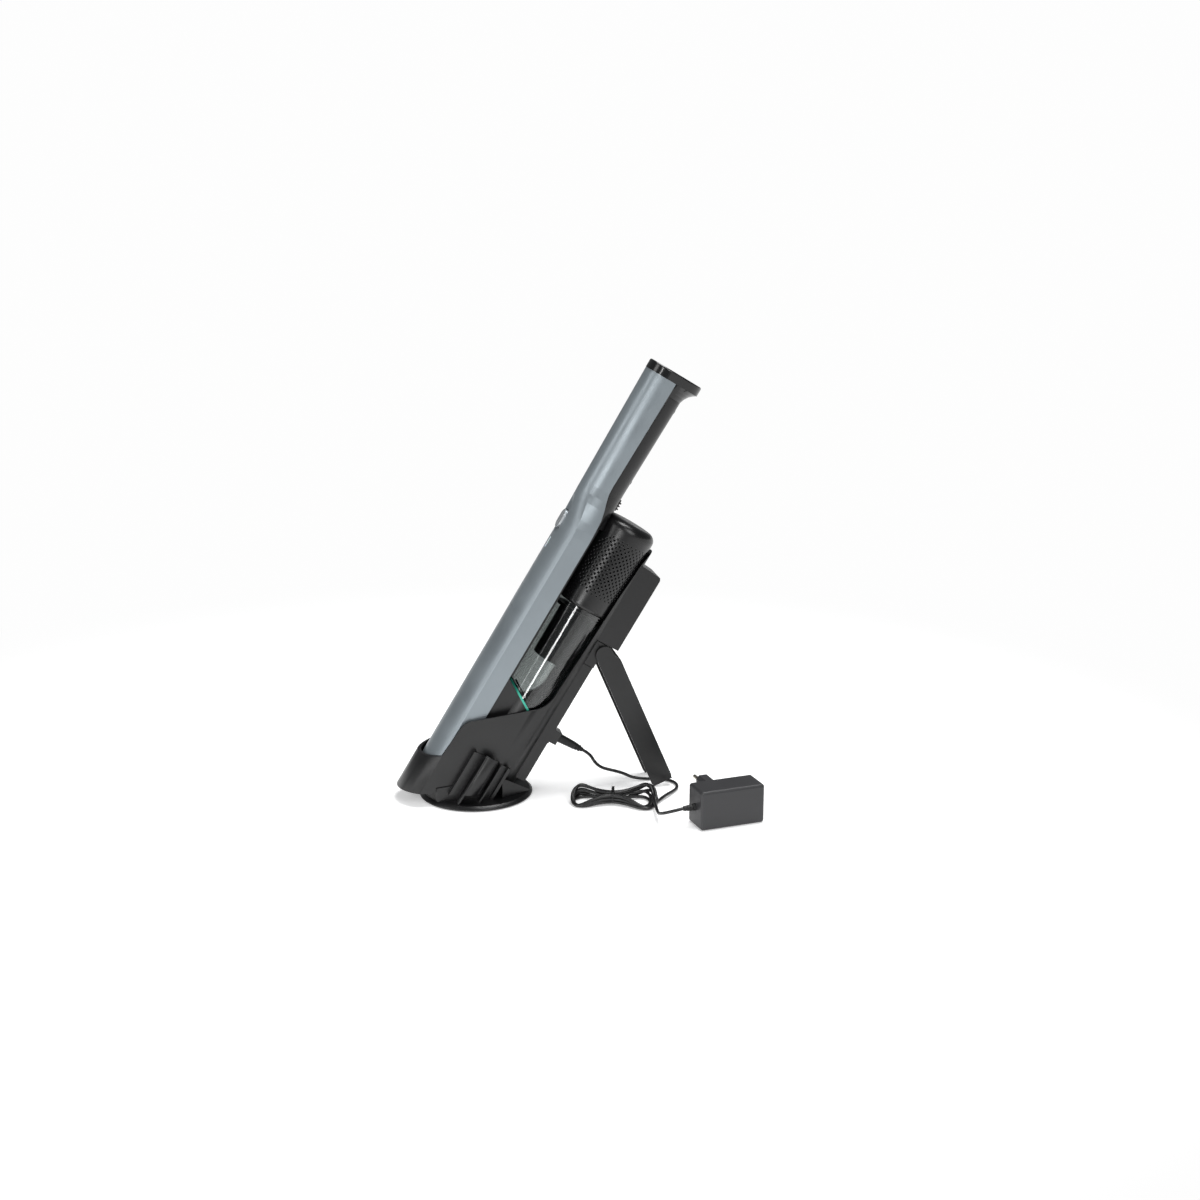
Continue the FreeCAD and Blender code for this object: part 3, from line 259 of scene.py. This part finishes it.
# %% Build the cover
def build_cover():
    """Outer wall with its holes, rounded shoulder and flat top."""
    shape = bmesh.new()
    grid = [[shape.verts.new(on_cover(column, row) * MM) for column in range(COLUMNS)]
            for row in range(ROWS + 1)]
    holes = 0
    for row in range(ROWS):
        for column in range(COLUMNS):
            right = (column + 1) % COLUMNS
            low_left, low_right = grid[row][column], grid[row][right]
            high_right, high_left = grid[row + 1][right], grid[row + 1][column]
            size = hole_size(column, row)
            if is_contact_window(column, row):
                continue
            if not size:
                shape.faces.new((low_left, low_right, high_right, high_left))
                continue
            holes += 1
            edge = []
            for corner in range(8):
                turn = math.radians(22.5 + 45 * corner)
                wide = size * math.cos(turn) * COLUMNS / (2 * math.pi * COVER_RADIUS)
                edge.append(shape.verts.new(on_cover(column + 0.5 + wide,
                                                     row + 0.5 + size * math.sin(turn) / TILE_TALL) * MM))
            corners = (high_right, high_left, low_left, low_right)
            for number, corner in enumerate(corners):
                first, second = edge[2 * number], edge[2 * number + 1]
                shape.faces.new((corner, second, first))
                shape.faces.new((corner, corners[(number + 1) % 4], edge[(2 * number + 2) % 8], second))
    ring = grid[ROWS]
    turns_of_shoulder = [math.radians(15 * step) for step in range(1, 7)]
    profile = [(COVER_RADIUS - COVER_ROUND + COVER_ROUND * math.cos(turn),
                COVER_HIGH - COVER_ROUND + COVER_ROUND * math.sin(turn)) for turn in turns_of_shoulder]
    for radius, height in profile + [(13.0, COVER_HIGH), (6.0, COVER_HIGH)]:
        upper = []
        for column in range(COLUMNS):
            angle = 2 * math.pi * column / COLUMNS
            upper.append(shape.verts.new(around(radius, angle, height) * MM))
        for column in range(COLUMNS):
            right = (column + 1) % COLUMNS
            shape.faces.new((ring[column], ring[right], upper[right], upper[column]))
        ring = upper
    shape.faces.new(ring)
    print("motor cover:", holes, "air holes")
    return shape


def piece_from(shape, name, frame_matrix, smooth=True):
    """New object from a bmesh drawn in one of the local frames."""
    for face in shape.faces:
        face.smooth = smooth
    mesh = bpy.data.meshes.new(name)
    shape.to_mesh(mesh)
    shape.free()
    mesh.transform(frame_matrix)
    made = bpy.data.objects.new(name, mesh)
    bpy.context.scene.collection.objects.link(made)
    return made


def thicken(piece, thickness, offset=-1.0):
    """Give a sheet its wall with Solidify."""
    wall = piece.modifiers.new("wall", "SOLIDIFY")
    wall.thickness = thickness * MM
    wall.offset = offset
    return piece


cover = thicken(piece_from(build_cover(), "pierced_motor_cover", AXIS), COVER_WALL)
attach(cover, "vacuum")
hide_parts("motor_housing")

# %% [markdown]
# ## Pleated filter
# The washable filter is a strip of stiff paper folded into forty pleats and closed to a ring. A
# zigzag wall drawn in plan and thickened to the paper's half millimetre is exactly that.

# %% Fold the paper
PLEATS, PLEAT_IN, PLEAT_OUT, PLEAT_LOW, PLEAT_HIGH = 40, 9.6, 17.3, 145.4, 195.0


def fold_paper():
    """Zigzag ring of paper, three bands tall so that its folds can swell a little."""
    shape = bmesh.new()
    bands = []
    for band in range(4):
        swell = 0.25 * math.sin(math.pi * band / 3)
        height = PLEAT_LOW + (PLEAT_HIGH - PLEAT_LOW) * band / 3
        ring = []
        for fold in range(2 * PLEATS):
            angle = math.pi * fold / PLEATS
            radius = PLEAT_OUT + swell * 0.5 if fold % 2 else PLEAT_IN + swell
            ring.append(shape.verts.new(around(radius, angle, height) * MM))
        bands.append(ring)
    for low_ring, high_ring in zip(bands, bands[1:]):
        for fold in range(2 * PLEATS):
            after = (fold + 1) % (2 * PLEATS)
            shape.faces.new((low_ring[fold], low_ring[after], high_ring[after], high_ring[fold]))
    return shape


paper = thicken(piece_from(fold_paper(), "folded_filter_paper", AXIS, smooth=False), 0.45, 0.0)
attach(paper, "vacuum")
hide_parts("pleated_filter")

# %% [markdown]
# ## Twisted tie
# The hank is held by a plastic-covered wire: one turn round the waist, its two ends twisted
# together on top. It is drawn as three splines: the turn and its two twisted ends.

# %% Bend the wire
WIRE_RADIUS = 0.8


def tie_points():
    """Turn round the twelve runs; the two twisted ends are drawn by twisted_end."""
    across, low, high = 7.6, 1.0, 12.6
    middle = (low + high) / 2
    loop = []
    for step in range(19):
        angle = math.radians(-80 + 340 * step / 18) - math.pi
        swell = (abs(math.cos(angle)) ** 4 + abs(math.sin(angle)) ** 4) ** -0.25
        loop.append(Vector((0.5 * step / 18, across * swell * math.cos(angle) * 0.92,
                            middle + (high - low) / 2 * swell * math.sin(angle) * -0.9)))
    return loop


def wire_piece(name, points):
    """Covered wire through points given about the hank's middle, in millimetres."""
    turned_points = [(HANK_MIDDLE.x + HANK_LONG.x * p.x + HANK_ACROSS.x * p.y,
                      HANK_MIDDLE.y + HANK_LONG.y * p.x + HANK_ACROSS.y * p.y, p.z) for p in points]
    made = spline_object(name, [Vector(point) * MM for point in turned_points], WIRE_RADIUS * MM)
    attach(made, "stand")
    return made


def twisted_end(phase):
    """One end of the wire, wound about the other at a given phase."""
    turns_made = [0.9 * step + phase for step in range(8)]
    return [Vector((0.9 * math.cos(turn), 1.5 + 1.1 * step + 0.9 * math.sin(turn), 13.4 + 0.1 * step))
            for step, turn in enumerate(turns_made)]


twist = [twisted_end(phase) for phase in (0.0, math.pi)]
tie_loop = wire_piece("tie_loop", tie_points())
tie_ends = [wire_piece(f"tie_end_{number}", points) for number, points in enumerate(twist)]
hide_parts("hank_tie")

# %% [markdown]
# ## Softened edges
# No moulding has a knife edge: the tool leaves a radius of a few tenths of a millimetre, and that
# radius is what catches the light along every rim. The CAD faces come in as separate sheets, so
# Weld joins them first and Bevel then rounds only the edges that are really sharp.

# %% Round the rims
JOIN_WITHIN, SHARP_FROM = 0.00002, math.radians(40)


def soften(radius_mm, *names):
    """Weld a CAD node's faces and round its sharp edges."""
    for name in names:
        weld = nodes[name].modifiers.new("weld", "WELD")
        weld.merge_threshold = JOIN_WITHIN
        rounding = nodes[name].modifiers.new("rim_radius", "BEVEL")
        rounding.width = radius_mm * MM
        rounding.segments = 2
        rounding.limit_method = "ANGLE"
        rounding.angle_limit = SHARP_FROM
        rounding.harden_normals = True


soften(0.7, "cradle", "stand_head", "kickstand_leg", "spine_cover", "hinge_block")
soften(0.3, "tool_post_near", "tool_post_far", "dc_jack", "base_disc", "handle_grip", "mains_plug",
       "foot_pads")

# %% [markdown]
# ## How the finishes are built
# Every finish is one Principled shader. A hex colour is turned to linear light by one function,
# and one small function adds a node with its settings and links. Fine grain on a moulding comes
# from a noise in object space, whose scale is one over the grain's real size.

# %% Colour and node helpers
def colour(hex_text):
    """Linear RGBA of an sRGB hex colour."""
    channels = [int(hex_text[place:place + 2], 16) / 255 for place in (1, 3, 5)]
    linear = [value / 12.92 if value <= 0.04045 else ((value + 0.055) / 1.055) ** 2.4 for value in channels]
    return linear + [1.0]


def add_node(tree, kind, settings=None, **inputs):
    """Node with its settings, whose inputs are constants or another node's output socket."""
    node = tree.nodes.new(kind)
    for name, value in (settings or {}).items():
        setattr(node, name, value)
    for name, value in inputs.items():
        socket = node.inputs[int(name[1:]) if name[0] == "_" else name.replace("_", " ")]
        if isinstance(value, bpy.types.NodeSocket):
            tree.links.new(value, socket)
        else:
            socket.default_value = value
    return node


def per_mm(size):
    """Pattern scale, in repeats a metre, of a detail this many millimetres across."""
    return 1000.0 / size


# %% A moulded or painted finish
def finish(name, tint, roughness, grain_mm=0.35, grain=0.15, uneven=0.06, metallic=0.0, shade=0.12, **shader):
    """Principled finish with moulded grain, slow unevenness of gloss and a little shade variation."""
    material = bpy.data.materials.new(name)
    material.use_nodes = True
    tree = material.node_tree
    tree.nodes.clear()
    place = add_node(tree, "ShaderNodeTexCoord").outputs["Object"]
    slow = add_node(tree, "ShaderNodeTexNoise", Vector=place, Scale=per_mm(38), Detail=3.0)
    fine = add_node(tree, "ShaderNodeTexNoise", Vector=place, Scale=per_mm(grain_mm), Detail=2.0)
    gloss = add_node(tree, "ShaderNodeMapRange", Value=slow.outputs["Fac"], From_Min=0.3, From_Max=0.7,
                     To_Min=roughness - uneven, To_Max=roughness + uneven)
    light_tone = [min(channel * (1 + shade), 1.0) for channel in colour(tint)[:3]] + [1.0]
    dark_tone = [channel * (1 - shade) for channel in colour(tint)[:3]] + [1.0]
    tone = add_node(tree, "ShaderNodeMix", {"data_type": "RGBA"}, _0=slow.outputs["Fac"], _6=dark_tone,
                    _7=light_tone)
    bump = add_node(tree, "ShaderNodeBump", Strength=grain, Distance=0.0001, Height=fine.outputs["Fac"])
    principled = add_node(tree, "ShaderNodeBsdfPrincipled", Base_Color=tone.outputs[2],
                          Roughness=gloss.outputs["Result"], Normal=bump.outputs["Normal"],
                          Metallic=metallic, **shader)
    add_node(tree, "ShaderNodeOutputMaterial", Surface=principled.outputs["BSDF"])
    return material


# %% [markdown]
# ## The mouldings and their finishes
# The top shell is moulded ABS sprayed with a grey metallic lacquer: tiny aluminium flakes in a
# satin clear coat. Every black moulding is ABS from a spark-eroded tool, so it has a fine even
# grain and a satin sheen; the end cap and collar come from a polished tool.

# %% Finishes
lacquer = finish("grey_metallic_lacquer", "#838b90", 0.38, grain_mm=0.25, grain=0.10, metallic=0.6,
                 Coat_Weight=0.15, Coat_Roughness=0.25)
satin_abs = finish("black_satin_abs", "#0a0a0b", 0.36, grain_mm=0.40, grain=0.25)
grip_abs = finish("black_grip_abs", "#09090a", 0.28, grain_mm=0.35, grain=0.15)
polished_abs = finish("black_polished_abs", "#0b0b0c", 0.20, grain_mm=0.8, grain=0.04, Coat_Weight=0.3)
adapter_abs = finish("adapter_grained_abs", "#2a2a2c", 0.46, grain_mm=0.45, grain=0.45)
silver_abs = finish("silver_lacquered_abs", "#b9bdc0", 0.28, metallic=0.7, grain=0.06, Coat_Weight=0.4)
milky_acrylic = finish("milky_acrylic", "#dfe6e6", 0.2, grain=0.02, Subsurface_Weight=0.2)
cord_pvc = finish("black_cord_pvc", "#0b0b0c", 0.36, grain_mm=0.6, grain=0.12)
rubber = finish("black_moulded_rubber", "#0d0d0e", 0.55, grain_mm=0.5, grain=0.5)
teal_silicone = finish("teal_silicone", "#35ad94", 0.5, grain_mm=0.6, grain=0.2, Subsurface_Weight=0.1)
filter_paper = finish("pleated_filter_paper", "#e6e3da", 0.92, grain_mm=0.25, grain=0.6)
foam = finish("open_cell_foam", "#232325", 0.95, grain_mm=0.9, grain=1.0)
nickel = finish("nickel_plate", "#c9c4b8", 0.22, metallic=1.0, grain=0.05)
gilt = finish("gold_flashed_brass", "#d8b26a", 0.25, metallic=1.0, grain=0.05)
ground_steel = finish("ground_steel", "#b8b9ba", 0.25, metallic=1.0, grain_mm=0.15, grain=0.12)
black_zinc = finish("black_zinc_plate", "#4a4a4c", 0.38, metallic=0.9, grain=0.2)
motor_zinc = finish("zinc_plated_can", "#9b9ea0", 0.35, metallic=1.0, grain=0.15)
shrink_sleeve = finish("blue_shrink_sleeve", "#2f63a8", 0.3, grain_mm=3.0, grain=0.05)
solder_mask = finish("green_solder_mask", "#0d5a34", 0.35, grain_mm=1.6, grain=0.2)
copper = finish("enamelled_copper", "#a8562a", 0.35, metallic=0.9, grain_mm=0.3, grain=0.5)
print(len(bpy.data.materials), "finishes")


# %% Paper sweep
def sweep_paper():
    """White paper under the object whose outer part glows evenly, as a lit studio sweep does."""
    material = bpy.data.materials.new("white_paper_sweep")
    material.use_nodes = True
    tree = material.node_tree
    tree.nodes.clear()
    place = add_node(tree, "ShaderNodeTexCoord").outputs["Object"]
    away = add_node(tree, "ShaderNodeVectorMath", {"operation": "LENGTH"}, _0=place)
    rise = add_node(tree, "ShaderNodeMapRange", {"interpolation_type": "SMOOTHSTEP"},
                    Value=away.outputs["Value"], From_Min=0.3, From_Max=0.9, To_Min=0.0, To_Max=1.0)
    fibre = add_node(tree, "ShaderNodeTexNoise", Vector=place, Scale=per_mm(0.8), Detail=2.0)
    bump = add_node(tree, "ShaderNodeBump", Strength=0.05, Distance=0.0001, Height=fibre.outputs["Fac"])
    sheet = add_node(tree, "ShaderNodeBsdfPrincipled", Base_Color=colour("#fafafa"), Roughness=0.9,
                     Normal=bump.outputs["Normal"], Emission_Color=colour("#ffffff"), Emission_Strength=0.3)
    glow = add_node(tree, "ShaderNodeEmission", Color=colour("#ffffff"), Strength=0.985)
    both = add_node(tree, "ShaderNodeMixShader", _0=rise.outputs["Result"], _1=sheet.outputs["BSDF"],
                    _2=glow.outputs["Emission"])
    add_node(tree, "ShaderNodeOutputMaterial", Surface=both.outputs["Shader"])
    return material


floor_paper = sweep_paper()


# %% Smoked polycarbonate of the dust cup
def clear_cup():
    """Clear smoked polycarbonate: the tint comes from the wall, the gloss from its surface."""
    material = bpy.data.materials.new("smoked_polycarbonate")
    material.use_nodes = True
    tree = material.node_tree
    tree.nodes.clear()
    place = add_node(tree, "ShaderNodeTexCoord").outputs["Object"]
    haze = add_node(tree, "ShaderNodeTexNoise", Vector=place, Scale=per_mm(14), Detail=4.0)
    gloss = add_node(tree, "ShaderNodeMapRange", Value=haze.outputs["Fac"], To_Min=0.04, To_Max=0.12)
    principled = add_node(tree, "ShaderNodeBsdfPrincipled", Base_Color=colour("#a7abaa"), IOR=1.585,
                          Roughness=gloss.outputs["Result"], Transmission_Weight=1.0)
    add_node(tree, "ShaderNodeOutputMaterial", Surface=principled.outputs["BSDF"])
    return material


smoked_cup = clear_cup()


# %% Paint the frame
def paint(material, *names):
    """Give CAD nodes or new pieces one finish."""
    for name in names:
        piece = nodes[name] if isinstance(name, str) else name
        if not piece.material_slots:
            piece.data.materials.append(material)
        for place in piece.material_slots:
            place.material = material


paint(floor_paper, floor)
paint(cord_pvc, lead)
paint(lacquer, "upper_shell", "top_panel")
paint(silver_abs, "power_button")
paint(milky_acrylic, "indicator_lens")
paint(grip_abs, "handle_grip", cover, "cup_release")
paint(polished_abs, "end_cap")
paint(satin_abs, "lower_chassis", "nose_duct", "cradle", "tool_post_near", "tool_post_far", "spine_cover",
      "hinge_block", "stand_head", "kickstand_leg", "base_disc", "dc_jack", "fan_shroud", "motor_mount",
      "impeller", "filter_frame", "battery_bands", "power_switch")
paint(adapter_abs, "adapter_front", "adapter_back", "mains_plug")
paint(rubber, "base_pad", "foot_pads", "inlet_flap", "plug_body", "strain_relief")
paint(cord_pvc, tie_loop, *tie_ends)
paint(teal_silicone, "cup_seal")
paint(smoked_cup, "dust_cup", "cup_collar")
paint(filter_paper, paper)
paint(foam, "exhaust_filter")
paint(nickel, "plug_barrel", "jack_pin", "mains_pins", "battery_strips")
paint(gilt, "charge_contacts", "contact_pins")
paint(ground_steel, "motor_bearings", "motor_rotor", "leg_pin")
paint(black_zinc, "stand_screws", "grip_screws")
paint(motor_zinc, "motor_can", "motor_end_plates")
paint(shrink_sleeve, "battery_cells")
paint(solder_mask, "control_board", "contact_board", "adapter_board")
paint(copper, "transformer")
